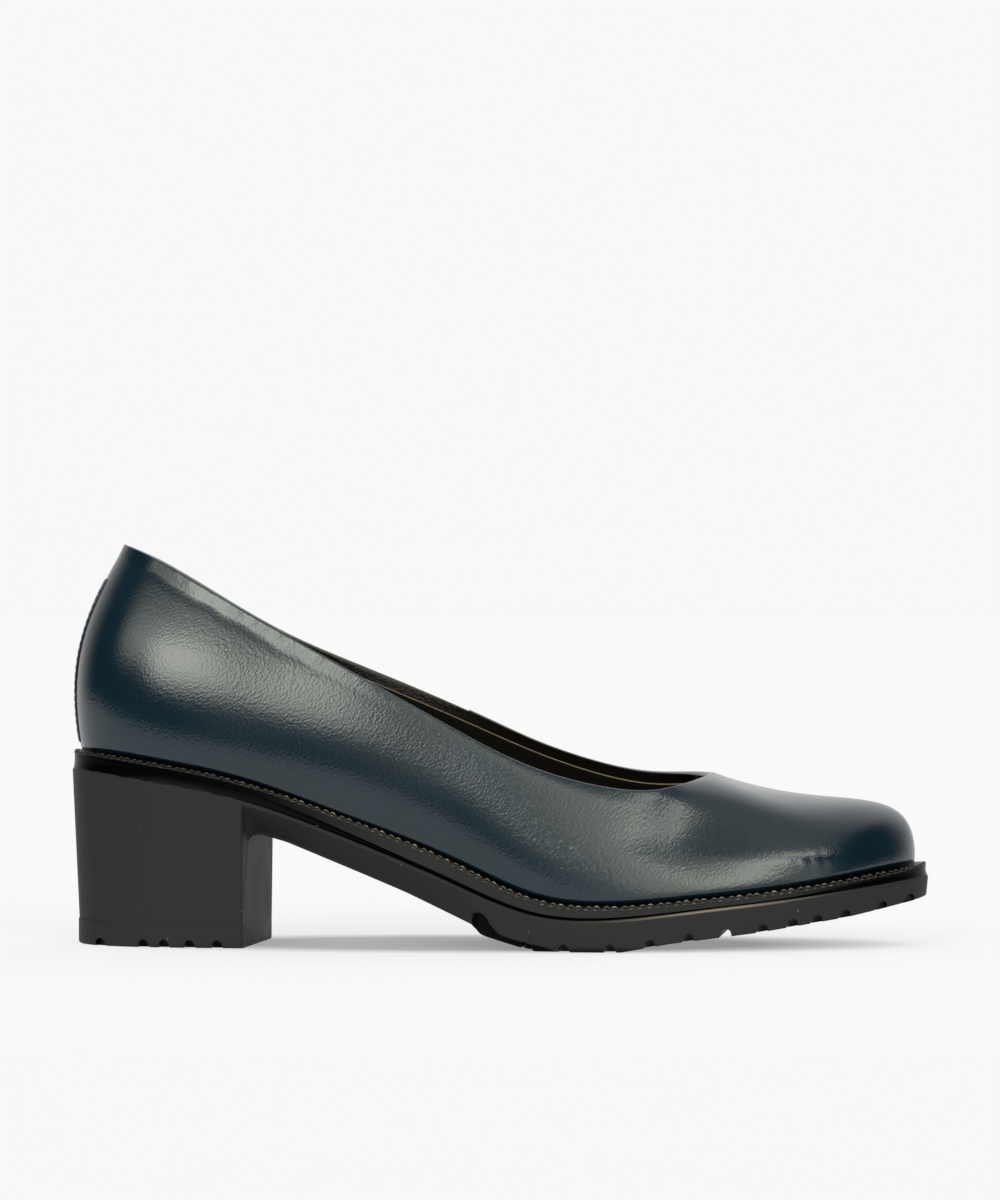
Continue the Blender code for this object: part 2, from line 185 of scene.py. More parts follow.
# Soft troughs and ridges: side (-1 lateral, 1 medial), x, z, half length, half width, lean from upright
# in degrees, depth (minus is a trough). First the broad ones, then the wrinkles of the vamp
CREASES = (
    (-1, 83.0, 56.0, 33.0, 21.0, -64.0, 1.30),    # flank held full by the stiffener
    (-1, 142.0, 39.0, 30.0, 25.0, 22.0, -0.60),   # hollow waist
    (-1, 184.0, 42.0, 11.5, 4.0, -76.0, 0.80),    # fullness beside the throat
    (-1, 173.0, 32.0, 4.5, 16.0, -5.0, -0.25),    # hollow where the foot bends
    (-1, 205.0, 26.5, 3.0, 18.0, 0.0, 0.35),      # fullness low on the vamp
    (-1, 203.0, 35.0, 4.5, 0.8, 6.0, 0.06),
    (-1, 206.0, 33.5, 5.0, 0.8, 3.0, 0.07),
    (-1, 204.5, 35.0, 5.0, 0.7, 4.0, -0.05),
    (-1, 197.0, 34.0, 4.0, 1.3, 12.0, 0.06),
    (-1, 210.0, 23.4, 3.2, 0.7, -14.0, -0.035),
    (-1, 212.0, 24.0, 3.6, 0.7, -14.0, 0.04),
    (-1, 213.8, 24.6, 3.6, 0.7, -14.0, -0.045),
    (-1, 215.6, 25.0, 3.4, 0.7, -14.0, 0.04),
    (-1, 217.4, 25.4, 3.2, 0.7, -14.0, -0.04),
    (-1, 219.2, 25.8, 2.8, 0.7, -14.0, 0.03),
    (1, 173.0, 33.0, 10.0, 5.0, -84.0, -0.60),
    (1, 205.0, 36.0, 6.0, 1.4, -6.0, -0.12),
    (1, 209.0, 34.5, 5.0, 1.3, -2.0, 0.10),
    (1, 200.0, 35.0, 5.0, 1.4, -10.0, -0.09),
)

# Welt and stitching
WELT_ROUND = 0.6          # its outer upper edge
WELT_INWARD = 1.0         # how far it runs in under the upper
STITCH_PITCH = 5.1        # rope stitch of the welt, two loops to each
HEEL_STITCH_PITCH = 4.4
SEAM_STITCH = 2.3
STITCH_SIZE = (0.36, 0.24, 0.10)  # half length as a share of the pitch, half width, height
ROPE_RADIUS = 0.21
ROPE_RISE = 0.75          # how high its loops climb, and how far they lean in
ROPE_LEAN = 0.3
CORD_RADIUS = 0.17
ROPE_DIM_ENDS = 0.72         # how much darker the rope is round the heel and the toe, its painted highlights dimmed there

# Sole
RIM_OUT = -0.25           # the rim against the welt's overhang; nearly flush with the ledge at heel and toe
RIM_OUT_HEEL = 0.15
RIM_OUT_TOE = 0.05
GROOVE_DEPTH = 0.9
COVE_DEPTH = 0.12
SLOT_WIDTH = 3.3
SLOT_HEIGHT = 2.3
SLOT_INWARD = 0.045       # how far each slot runs in at full height, share of the sole's width
OPEN_SLOT = 76.3          # the one slot that is open right through
BREAST_ROUND = 0.7        # upright edge of the heel's breast
BREAST_FILLET = 4.5       # between breast and waist
BREAST_STEPS = (0.04, 0.12, 0.25, 0.45, 0.7)            # profiles this far behind the breast
FILLET_STEPS = (0.25, 0.6, 1.1, 1.8, 2.6, 3.5, 4.5)     # and in front of it
BREAST_ROWS = (23, 26)    # rows of the side where its rounding sets in, under the ledge
BOTTOM_STEPS = 24         # points across the underside
MOULD_LINE = 43.5         # faint parting line round the back of the heel
SCOOP_DEPTH = 2.2         # the tread's rear end is scooped out below a falling curve: x, height
SCOOP = (
    (117.9, 9.4),
    (118.9, 11.0),
    (120.6, 11.2),
    (122.2, 10.0),
    (123.5, 7.6),
    (125.5, 5.4),
    (127.7, 4.4),
    (132.1, 3.2),
    (138.0, 2.0),
    (144.0, 0.6),
)
SOCK_ROUND = 0.9
LEDGE_ROUND = 0.8
LEDGE_ROWS = (19, 22)     # the rows of the side that turn over the ledge, with a painted highlight round the ball
LEDGE_HIGHLIGHT = (187.0, 22.0)  # middle and half length of the stretch with the painted highlight


def smooth(low, high, value):
    """Goes from 0 to 1 as value goes from low to high, flat at both ends: 3t2 - 2t3."""
    t = np.clip((value - low) / (high - low), 0, 1)
    return t * t * (3 - 2 * t)


def bell(value, middle, width):
    """Bell curve of height 1: e to the minus square of the distance over the width."""
    return np.exp(-(((value - middle) / width) ** 2))


def waver(run):
    """An irregular wave between about -1 and 1: three sines whose lengths share no common measure."""
    return (np.sin(run / 1.13) + np.sin(run / 0.71 + 1.3) + np.sin(run / 2.37 + 0.6)) / 2.2


def unit(vectors):
    """The same directions with length 1."""
    return vectors / np.linalg.norm(vectors, axis=-1, keepdims=True)


def length_along(points):
    """Distance of each point from the first, along a path or along each column of a grid."""
    steps = np.linalg.norm(np.diff(points, axis=0), axis=-1)
    return np.concatenate([np.zeros_like(steps[:1]), np.cumsum(steps, axis=0)])


def station_of(loop):
    """How far along the shoe a place round the loop is, the same on both sides: heel 0, toe 11."""
    return np.minimum(loop, ROUND - loop)


def closed_spline(knots, rows, at):
    """Cubic spline of continuous curvature through rows, one per knot; the last knot closes the loop."""
    span = np.diff(knots)[:, None]
    slope = (np.roll(rows, -1, 0) - rows) / span
    here = np.arange(len(rows))
    after = (here + 1) % len(rows)
    before = here - 1
    matrix = np.zeros((len(rows), len(rows)))
    matrix[here, here] = 2 * (span[before] + span)[:, 0]
    matrix[here, after] = span[:, 0]
    matrix[here, before] = span[before][:, 0]
    bend = np.linalg.solve(matrix, 6 * (slope - slope[before]))
    i = np.clip(np.searchsorted(knots, at, side="right") - 1, 0, len(rows) - 1)
    b = (at - knots[i])[:, None] / span[i]
    a = 1 - b
    curve = (a**3 - a) * bend[i] + (b**3 - b) * bend[after[i]]
    return a * rows[i] + b * rows[after[i]] + curve * span[i] ** 2 / 6


def table_rows():
    """The tables as one loop of rows in millimetres: heel, lateral side, toe, medial side."""
    ribs = (HEEL_RIB, *LATERAL_RIBS, TOE_RIB, *MEDIAL_RIBS[::-1])
    sections = (*SECTIONS, *SECTIONS[-2:0:-1])
    rows = np.array([rib + section for rib, section in zip(ribs, sections)])
    scale = dict.fromkeys(RIB_COLUMNS + SECTION_COLUMNS, 1.0)
    scale.update(foot_x=LENGTH / 100, top_x=LENGTH / 100)
    scale.update(foot_y=BALL_WIDTH / 100, top_y=BALL_WIDTH / 100)
    scale.update(seat=HEEL_HEIGHT / 100, rise=BACK_HEIGHT / 100)
    return rows * np.array(list(scale.values()))


ROWS = table_rows()
KNOTS = length_along(np.concatenate([ROWS, ROWS[:1]])[:, :2])
PLACES = np.arange(ROUND + 1)
SEAM_RUN = KNOTS[SEAM_PLACE]
PERCENT = LENGTH / 100


def columns_at(loop):
    """Every table column at places round the loop, and the outline's outward normal in plan."""
    def values(place):
        return closed_spline(KNOTS, ROWS, np.interp(place % ROUND, PLACES, KNOTS))

    nudge = 1e-3
    along = values(loop + nudge)[:, :2] - values(loop - nudge)[:, :2]
    columns = dict(zip(RIB_COLUMNS + SECTION_COLUMNS, values(loop).T))
    columns["normal"] = unit(np.column_stack([along[:, 1], -along[:, 0]]))
    return columns


def lateral_x(stations):
    """Where each station's lateral end is along the shoe."""
    return columns_at(np.asarray(stations, float))["foot_x"]


def station_at(x):
    """The station whose lateral end is at this x."""
    fine = np.linspace(0, TOE, 40 * TOE + 1)
    return np.interp(x, lateral_x(fine), fine)


BREAST_X = lateral_x([BREAST])[0]


def underside(stations, column):
    """A column of the underside's table in front of the heel: its mean over a short stretch of x."""
    table = dict(zip(UNDERSIDE_COLUMNS, np.array(UNDERSIDE).T))
    near = lateral_x(stations) + np.linspace(-UNDERSIDE_ROUND, UNDERSIDE_ROUND, 9)[:, None]
    return np.interp(near, table["place"] * PERCENT, table[column]).mean(0)


def ring(columns, offset, height):
    """The outline moved out by offset, at a height: one ring of points."""
    foot = np.column_stack([columns["foot_x"], columns["foot_y"]])
    plan = foot + columns["normal"] * np.broadcast_to(offset, len(foot))[:, None]
    return np.column_stack([plan, np.broadcast_to(height, len(foot))])


def sole_top(columns):
    """Height of the sole's top, under the welt."""
    return columns["seat"] - WELT - GAP


def welt_top(columns, loop):
    """Height of the welt's top: the seat, and a little lower from the waist to the toe."""
    station = station_of(loop)
    return columns["seat"] - WELT_DROP * smooth(5.0, 6.4, station) * (1 - smooth(10.2, 11, station))


def leather_face(columns, h):
    """Outer face of the upper: each rib is a Bezier curve from the sole's edge, h 0, to the topline, h 1."""
    foot = ring(columns, 0, sole_top(columns) + GAP)
    bulge = ring(columns, columns["out"], foot[:, 2] + columns["up"])
    top = np.column_stack([columns["top_x"], columns["top_y"], columns["seat"] + columns["rise"]])
    under = top + columns["reach"][:, None] * (bulge - top)
    under[:, 2] = top[:, 2] - columns["drop"]
    h = np.asarray(h)
    h = h[:, None, None] if h.ndim == 1 else h[..., None]
    lower = foot * (1 - h) ** 3 + 3 * bulge * h * (1 - h) ** 2
    return lower + 3 * under * h**2 * (1 - h) + top * h**3


def normals_of(points):
    """Unit normals of a grid of rows going up and columns going round, by crossing its two slopes."""
    along = np.roll(points, -1, 1) - np.roll(points, 1, 1)
    return unit(np.cross(along, np.gradient(points, axis=0)))


def below_top(points):
    """Distance of each point of a grid down its own rib from the topline."""
    climb = length_along(points)
    return climb[-1] - climb


def even_loop(count, extra=()):
    """Places round the loop at even distances along the outline, with extra ones put in order."""
    places = np.interp(np.linspace(0, KNOTS[-1], count + 1)[:-1], KNOTS, PLACES)
    return np.unique(np.concatenate([places, np.asarray(extra, float)]))


def grid_faces(rows, columns, rows_wrap, columns_wrap):
    """Quads of a grid of points; a direction that wraps joins its end to its start."""
    i, j = np.meshgrid(
        np.arange(rows if rows_wrap else rows - 1),
        np.arange(columns if columns_wrap else columns - 1),
        indexing="ij",
    )
    up, on = (i + 1) % rows, (j + 1) % columns
    corners = [i * columns + j, i * columns + on, up * columns + on, up * columns + j]
    return np.stack(corners, -1).reshape(-1, 4)


def piece(name, points, finish, stands_for=(), wraps=(True, True), faces=None, marks=None, sharp=None):
    """A named mesh in the row frame, welded at its poles and seams, facing out and riding on the shoe.

    Its faces are the quads of the grid of points, wrapping along rows and columns as told, or those given.
    """
    if faces is None:
        faces = grid_faces(*points.shape[:2], *wraps)
    points = points.reshape(-1, 3)
    corners = points[faces]
    turned = np.einsum("ij,ij->i", corners[:, 0], np.cross(corners[:, 1], corners[:, 2]))
    turned += np.einsum("ij,ij->i", corners[:, 0], np.cross(corners[:, 2], corners[:, 3]))
    faces = faces if turned.sum() > 0 else faces[:, ::-1]
    mesh = bpy.data.meshes.new(name)
    mesh.from_pydata(((points - LAST_MIDDLE) * MM).tolist(), [], faces.tolist())
    for label, values in (marks or {}).items():
        mark = mesh.attributes.new(label, "FLOAT", "POINT")
        mark.data.foreach_set("value", np.asarray(values, np.float32).ravel())
    work = bmesh.new()
    work.from_mesh(mesh)
    bmesh.ops.remove_doubles(work, verts=work.verts, dist=2e-6)
    work.to_mesh(mesh)
    work.free()
    mesh.materials.append(finish)
    mesh.shade_smooth()
    if sharp:
        mesh.set_sharp_from_angle(angle=math.radians(sharp))
    made = bpy.data.objects.new(name, mesh)
    bpy.context.scene.collection.objects.link(made)
    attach(made, "root")
    if stands_for:
        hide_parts(*stands_for)


def colour(code):
    """An sRGB hex value as linear red, green, blue and alpha."""
    parts = np.array([int(code[i : i + 2], 16) / 255 for i in (1, 3, 5)])
    linear = np.where(parts <= 0.04045, parts / 12.92, ((parts + 0.055) / 1.055) ** 2.4)
    return (*linear.tolist(), 1.0)


def feed(tree, made, links):
    """Sets inputs of a node: links pair an input with a value, or with the output to link it to."""
    for label, value in links:
        if isinstance(value, bpy.types.NodeSocket):
            tree.links.new(value, made.inputs[label])
        else:
            made.inputs[label].default_value = value


def node(tree, kind, links=(), out=None, **settings):
    """Adds a shader node and gives its output called out, or its first one. settings are its properties."""
    made = tree.nodes.new("ShaderNode" + kind)
    for label, value in settings.items():
        setattr(made, label, value)
    feed(tree, made, links)
    return made.outputs[out] if out else next(socket for socket in made.outputs if socket.enabled)


def finish_of(name, base, roughness, **sockets):
    """A new material with its shader's constant sockets set; returns it with its tree and shader."""
    made = bpy.data.materials.new(name)
    made.use_nodes = True
    shader = made.node_tree.nodes["Principled BSDF"]
    shader.inputs["Base Color"].default_value = colour(base)
    shader.inputs["Roughness"].default_value = roughness
    for label, value in sockets.items():
        shader.inputs[label.replace("_", " ")].default_value = value
    return made, made.node_tree, shader


def per_metre(millimetres):
    """Texture scale that gives a pattern of this size."""
    return 1000 / millimetres


# Full-grain calf, dyed navy, pigment finished and waxed: a soft broad shine broken into fine pebbles, with
# longer slanting wrinkles where the flank bends in wear. Real pebbles are about 0.3 mm; they are drawn
# twice as wide so that they show
def navy_calf():
    made, tree, shader = finish_of("navy_calf_waxed", "#061B25", 0.17, Specular_IOR_Level=0.58)
    place = node(tree, "TexCoord", out="Object")
    drift = node(tree, "TexNoise", [("Vector", place), ("Scale", per_metre(1.6))], "Color")
    lean = (0, math.radians(42), 0)
    lay = node(tree, "Mapping", [("Vector", place), ("Rotation", lean), ("Scale", (1.0, 1.0, 1.6))],
               vector_type="TEXTURE")
    warp = node(tree, "VectorMath", [(0, drift), (1, (0.0007,) * 3), (2, lay)], operation="MULTIPLY_ADD")
    cells = node(tree, "TexVoronoi", [("Vector", warp), ("Scale", per_metre(0.60)), ("Smoothness", 0.4)],
                 feature="SMOOTH_F1")
    slant = node(tree, "Mapping", [("Vector", place), ("Rotation", lean), ("Scale", (1.0, 1.0, 3.3))],
                 vector_type="TEXTURE")
    folds = node(tree, "TexNoise", [("Vector", slant), ("Scale", per_metre(0.6)), ("Detail", 1.0)])
    worn = node(tree, "Attribute", out="Fac", attribute_name="wear")
    wrinkles = node(tree, "Math", [(0, folds), (1, worn)], operation="MULTIPLY")
    height = node(tree, "Math", [(0, wrinkles), (1, 2.2), (2, cells)], operation="MULTIPLY_ADD")
    bump = node(tree, "Bump", [("Height", height), ("Strength", 1.0), ("Distance", 0.000029)])
    cloud = node(tree, "TexNoise", [("Vector", place), ("Scale", per_metre(26)), ("Detail", 3.0)])
    shade = node(tree, "Mix", [("Factor", cloud), ("A", colour("#04161F")), ("B", colour("#08222E"))],
                 data_type="RGBA")
    # edge: a painted highlight on the topline's rounded cut edge. inside: the flesh side's own dark
    # brown-black, and painted shadow on the feather turned in above the welt
    for mark, code in (("edge", "#8C9296"), ("inside", "#100D0A")):
        marked = node(tree, "Attribute", out="Fac", attribute_name=mark)
        shade = node(tree, "Mix", [("Factor", marked), ("A", shade), ("B", colour(code))], data_type="RGBA")
    rough = node(tree, "MapRange", [("Value", cloud), ("To Min", 0.15), ("To Max", 0.20)])
    feed(tree, shader, [("Normal", bump), ("Base Color", shade), ("Roughness", rough)])
    return made


# Thermoplastic rubber from a spark-eroded mould: charcoal and matt with a faint blush and a few specks of
# dust; the cove under the welt is polished steel in the mould, so it comes out glossy, and it is painted near
# black as shade, as are the groove, slots and scoop; the ledge round the ball has a painted highlight
def moulded_rubber(name, base, painted_shade_base, roughness):
    made, tree, shader = finish_of(name, base, roughness, Specular_IOR_Level=0.04)
    place = node(tree, "TexCoord", out="Object")
    tooth = node(tree, "TexNoise", [("Vector", place), ("Scale", per_metre(0.5)), ("Detail", 4.0)])
    bump = node(tree, "Bump", [("Height", tooth), ("Strength", 0.6), ("Distance", 0.00003)])
    blush = node(tree, "TexNoise", [("Vector", place), ("Scale", per_metre(12)), ("Detail", 5.0)])
    dust = node(tree, "TexVoronoi", [("Vector", place), ("Scale", per_metre(7.0))])
    speck = node(tree, "MapRange", [("Value", dust), ("From Min", 0.03), ("From Max", 0.045),
                                    ("To Min", 0.35), ("To Max", 0.0)])
    cove = node(tree, "Attribute", out="Fac", attribute_name="cove")
    ledge_glint = node(tree, "Attribute", out="Fac", attribute_name="ledge_highlight")
    tone = colour(base)
    # Painted shade near black where cove is marked, painted highlight on the ledge, and real specks of dust
    for share, code in ((cove, painted_shade_base), (ledge_glint, "#7D756A"), (speck, "#8F8C84")):
        tone = node(tree, "Mix", [("Factor", share), ("A", tone), ("B", colour(code))], data_type="RGBA")
    matt = node(tree, "MapRange",
                [("Value", blush), ("To Min", roughness - 0.08), ("To Max", roughness + 0.08)])
    sheen = node(tree, "Mix", [("Factor", cove), ("A", matt), ("B", 0.3)])
    feed(tree, shader, [("Normal", bump), ("Base Color", tone), ("Roughness", sheen)])
    return made


# Dark pigskin lining, buffed: brown-black, matt, with a short nap
def lining_skin(name, base):
    made, tree, shader = finish_of(name, base, 0.85, Specular_IOR_Level=0.1)
    place = node(tree, "TexCoord", out="Object")
    nap = node(tree, "TexNoise", [("Vector", place), ("Scale", per_metre(0.7)), ("Detail", 5.0)])
    bump = node(tree, "Bump", [("Height", nap), ("Strength", 0.6), ("Distance", 0.0002)])
    feed(tree, shader, [("Normal", bump)])
    return made


# Waxed linen thread, twisted: black, with painted grey-beige highlights on the crowns of its loops
def waxed_thread(name, low, high):
    made, tree, shader = finish_of(name, high, 0.5)
    crown = node(tree, "Attribute", out="Fac", attribute_name="crown")
    shade = node(tree, "Mix", [("Factor", crown), ("A", colour(low)), ("B", colour(high))], data_type="RGBA")
    feed(tree, shader, [("Base Color", shade)])
    return made


CALF = navy_calf()
RUBBER = moulded_rubber("charcoal_rubber_moulded", "#2D2D2E", "#010101", 0.5)
WELT_RUBBER = moulded_rubber("black_welt_rubber", "#2D2D2E", "#010101", 0.5)
LINING = lining_skin("brown_lining_skin", "#080604")
SOCK = lining_skin("brown_sock_skin", "#2A221A")
# Beige of the lining's edge: a painted highlight
LINING_EDGE_HIGHLIGHT = lining_skin("lining_edge_painted_highlight", "#7D735F")
ROPE = waxed_thread("waxed_linen_rope", "#0B0B0A", "#8C8672")
THREAD = waxed_thread("waxed_navy_thread", "#0A141C", "#1A2B38")


def fold_at(x, column):
    """A column of the folded edge's table at these x, the same on both sides of the shoe."""
    table = dict(zip(FOLD_COLUMNS, np.array(FOLD).T))
    return np.interp(x, table["x"], table[column])


def leather_relief(points, columns, run):
    """Relief along the normals: feather turned in at the welt, folded edge at the topline, creases, seam.

    A crease is its depth times two bell curves, across it and along it, on one side of the shoe.
    """
    below = below_top(points)
    above = points[..., 2] - columns["welt"]
    sides = smooth(4, 20, columns["foot_x"]) * (1 - smooth(232, 243, columns["foot_x"]))
    feather = FEATHER_AT_ENDS + (FEATHER_DEPTH - FEATHER_AT_ENDS) * sides
    relief = -feather * (1 - smooth(0, FEATHER_HEIGHT, above)) ** 1.5
    x, y, z = np.moveaxis(points, 2, 0)
    top_x = columns["top_x"]
    width = fold_at(top_x, "width") * (1 + 0.10 * waver(run / 2.2))
    inside = np.clip(width - below, 0, None)
    fold = fold_at(top_x, "tilt") * (np.hypot(inside, 0.4) - 0.4)
    curl = fold_at(top_x, "curl") * (inside / width) ** 2
    pucker = fold_at(top_x, "pucker") * waver(run + 0.4 * below) * smooth(0, 1, inside / width)
    hollow = fold_at(top_x, "hollow") * bell(below, width + 0.6, 1.7)
    relief = relief + fold - curl + pucker - hollow
    for side, at_x, at_z, half_length, half_width, lean, depth in CREASES:
        turn = math.radians(lean)
        across = (x - at_x) * math.cos(turn) - (z - at_z) * math.sin(turn)
        along = (x - at_x) * math.sin(turn) + (z - at_z) * math.cos(turn)
        crease = depth * bell(across, 0, half_width) * bell(along, 0, half_length)
        relief = relief + crease * smooth(1, 9, side * y)
    return relief + seam_step(run, 0.4)


def seam_step(run, half):
    """How far the front leather stands over the back one at the side seam: a step that fades forwards."""
    ahead = SEAM_RUN - run
    return SEAM_STEP * smooth(-half, half, ahead) * (1 - smooth(*SEAM_FADE, ahead))


def upper_leather():
    """The upper's wall as a closed band: up the outer face, over the rounded topline, down the inner face."""
    loop = even_loop(800, SEAM_PLACE + np.linspace(-0.05, 0.05, 9))
    run = np.interp(loop, PLACES, KNOTS)
    columns = columns_at(loop)
    columns["welt"] = welt_top(columns, loop)
    share = np.concatenate([
        np.linspace(0, 0.10, 12, endpoint=False),
        np.linspace(0.10, 0.74, 30, endpoint=False),
        np.linspace(0.74, 1, 34),
    ])
    length = below_top(leather_face(columns, np.linspace(0, 1, 60)))[0]
    h = share[:, None] * (1 - (ROLL_HEIGHT - seam_step(run, 0.3)) / length)
    face = leather_face(columns, h)
    normal = normals_of(face)
    outer = face + normal * leather_relief(face, columns, run)[..., None]
    rise = unit(outer[-1] - outer[-2])
    inner = (face - normal * LEATHER)[::-3]
    angle = np.linspace(0, math.pi, 9)[1:-1, None, None]
    middle = (outer[-1] + inner[0]) / 2
    radius = np.linalg.norm(outer[-1] - inner[0], axis=1)[:, None] / 2
    across = np.sign(np.cos(angle)) * np.abs(np.cos(angle)) ** ROLL_SQUARE
    over = np.sin(angle) ** ROLL_SQUARE
    roll = middle + radius * across * normal[-1] + ROLL_HEIGHT * over * rise
    band = np.concatenate([outer, roll, inner])
    wear = bell(band[..., 0], *WEAR) * smooth(0, 8, band[..., 2] - columns["seat"])
    # Painted highlight: the outer rows of the rounded topline are coloured pale towards the throat
    edge = np.zeros(band.shape[:2])
    edge[len(outer) + 1 : len(outer) + 4] = 0.75 * smooth(*PAINTED_EDGE_HIGHLIGHT, columns["top_x"])
    inside = np.zeros(band.shape[:2])
    inside[len(outer) + 5 :] = 1
    # Painted shadow: the foot of the outer face, where the leather turns in above the welt, is coloured dark
    # brown-black like the inside
    inside[: len(outer)] = 1 - smooth(0.5, 1.8, outer[..., 2] - columns["welt"])
    piece("upper_leather", band, CALF, ["upper"],
          marks={"wear": wear, "edge": edge, "inside": inside})


def wall_inside(columns, down_from, down_to, depth, rows):
    """Rows of points inside the wall, depth in from its outer face, between two drops below the topline.

    On a fine grid of the face, each drop lies between two rows: the point is the share of the way between.
    """
    fine = leather_face(columns, np.linspace(0, 1, 80))
    inside = fine - normals_of(fine) * depth
    below = below_top(fine)
    drops = down_from + np.linspace(0, 1, rows)[:, None] * (down_to - down_from)
    drops = np.broadcast_to(drops, (rows, fine.shape[1]))
    low = np.clip((below[:, None] > drops[None]).sum(0) - 1, 0, len(fine) - 2)
    column = np.arange(fine.shape[1])[None]
    part = (below[low, column] - drops) / (below[low, column] - below[low + 1, column])
    return inside[low, column] + part[..., None] * (inside[low + 1, column] - inside[low, column])


def lining():
    """Lining inside the wall, a closed band from under the facing down to the insole."""
    columns = columns_at(even_loop(420))
    length = below_top(leather_face(columns, np.linspace(0, 1, 60)))[0]
    near = wall_inside(columns, FACING, length, LEATHER + LINING_GAP, 34)
    far = wall_inside(columns, FACING, length, LEATHER + LINING_GAP + LINING_THICK, 34)[::-1]
    band = np.concatenate([near, far])
    piece("lining", band, LINING)


def tube(path, radius, sides):
    """A round profile carried along a closed path; its two axes are the path's plan normal and up."""
    along = unit(np.roll(path, -1, 0) - np.roll(path, 1, 0))
    out = unit(np.cross(along, UP))
    up = np.cross(out, along)
    angle = np.linspace(0, 2 * math.pi, sides, endpoint=False)[:, None, None]
    radius = np.broadcast_to(radius, (sides, len(path)))[..., None]
    return path + radius * (np.cos(angle) * out + np.sin(angle) * up)


def lining_edge():
    """Raw edge of the lining under the facing: a thin tube round the inside, painted beige as the highlight
    on that edge.
    """
    columns = columns_at(even_loop(420))
    path = wall_inside(columns, FACING, FACING + 0.1, LEATHER + 0.25, 2)[0]
    piece("lining_edge", tube(path, EDGE_RADIUS, 8), LINING_EDGE_HIGHLIGHT)


def stitches(name, paths, normals):
    """A piece of stitches along paths on a surface: one ellipsoid each, half sunk, at even steps of length.

    A point is the centre plus length times cos v along the path plus thickness times sin v round it.
    """
    rings, sides = 7, 8
    long, wide, tall = STITCH_SIZE
    centres, ways, outs = [], [], []
    for path, normal in zip(paths, normals):
        run = length_along(path)
        at = np.arange(SEAM_STITCH, run[-1] - SEAM_STITCH, SEAM_STITCH)
        centres.append(np.column_stack([np.interp(at, run, path[:, k]) for k in range(3)]))
        outs.append(np.column_stack([np.interp(at, run, normal[:, k]) for k in range(3)]))
        ways.append(np.column_stack([np.interp(at + 0.5, run, path[:, k]) for k in range(3)]) - centres[-1])
    centre, way, out = (np.concatenate(part)[:, None, None] for part in (centres, ways, outs))
    way = unit(way)
    side = np.cross(way, out)
    v = np.linspace(0, math.pi, rings)[:, None, None]
    u = np.linspace(0, 2 * math.pi, sides, endpoint=False)[:, None]
    round_it = np.sin(v) * (wide * np.cos(u) * side + tall * np.sin(u) * out)
    points = centre + long * SEAM_STITCH * np.cos(v) * way + round_it
    one = grid_faces(rings, sides, False, True)
    faces = (one + rings * sides * np.arange(len(points))[:, None, None]).reshape(-1, 4)
    piece(name, points, THREAD, faces=faces, marks={"crown": np.ones(points.shape[:-1])})


def open_normals(points):
    """Unit normals of a patch that closes on itself in neither direction."""
    return unit(np.cross(np.gradient(points, axis=1), np.gradient(points, axis=0)))


def back_strip():
    """Strip over the back seam: a patch of the upper's face with a thickness that rounds off at its edges."""
    across = np.linspace(-STRIP_HALF, STRIP_HALF, 40)
    fine = np.linspace(-1, 1, 81)
    places = columns_at(fine)
    run = length_along(np.column_stack([places["foot_x"], places["foot_y"]]))
    columns = columns_at(np.interp(across, run - run[40], fine))
    height = np.linspace(0, 1, 101)
    climb = leather_face(columns, height)[:, 20, 2]
    ends = np.interp([climb[0] + STRIP_FOOT, climb[-1] - STRIP_HEAD], climb, height)
    face = leather_face(columns, np.linspace(*ends, 90))
    normal = open_normals(face)
    down = np.linspace(0, STRIP_TALL, 90)
    edge = np.minimum(STRIP_HALF - np.abs(across), np.minimum(down, STRIP_TALL - down)[:, None])
    thick = STRIP_EDGE + STRIP_GAIN * np.sqrt(1 - (1 - np.clip(edge / STRIP_ROUND, 0, 1)) ** 2)
    outer = face + normal * thick[..., None]
    inner = (face + normal * 0.05)[:, ::-1]
    band = np.concatenate([outer, inner], 1)
    closing = (band + band[:, ::-1]) / 2
    band = np.concatenate([closing[:1], band, closing[-1:]])
    piece("back_strip_leather", band, CALF, ["back_strip"], (False, True),
          marks={"wear": np.zeros(band.shape[:2])}, sharp=60)
    rows = [np.abs(across - place).argmin() for place in (-STRIP_STITCH, STRIP_STITCH)]
    stitches("back_strip_stitches", [outer[2:-2, k] for k in rows], [normal[2:-2, k] for k in rows])


def seam_stitches():
    """Row of stitches on the medial side, just in front of the side seam, from the welt to the topline."""
    place = np.interp(SEAM_RUN - SEAM_MARGIN, KNOTS, PLACES)
    columns = columns_at(place + np.array([-0.01, 0.0, 0.01]))
    face = leather_face(columns, np.linspace(0.08, 0.97, 80))
    normal = open_normals(face)
    path = face[:, 1] + normal[:, 1] * (SEAM_STEP - 0.02)
    stitches("side_seam_stitches", [path], [normal[:, 1]])


def rim_edge(columns, loop):
    """How far the welt's edge and the sole's rim stand out from the upper's foot."""
    station = station_of(loop)
    heel, toe = 1 - smooth(2.7, 3.5, station), smooth(9.4, 10.6, station)
    return columns["overhang"] + RIM_OUT + (RIM_OUT_HEEL - RIM_OUT) * heel + (RIM_OUT_TOE - RIM_OUT) * toe


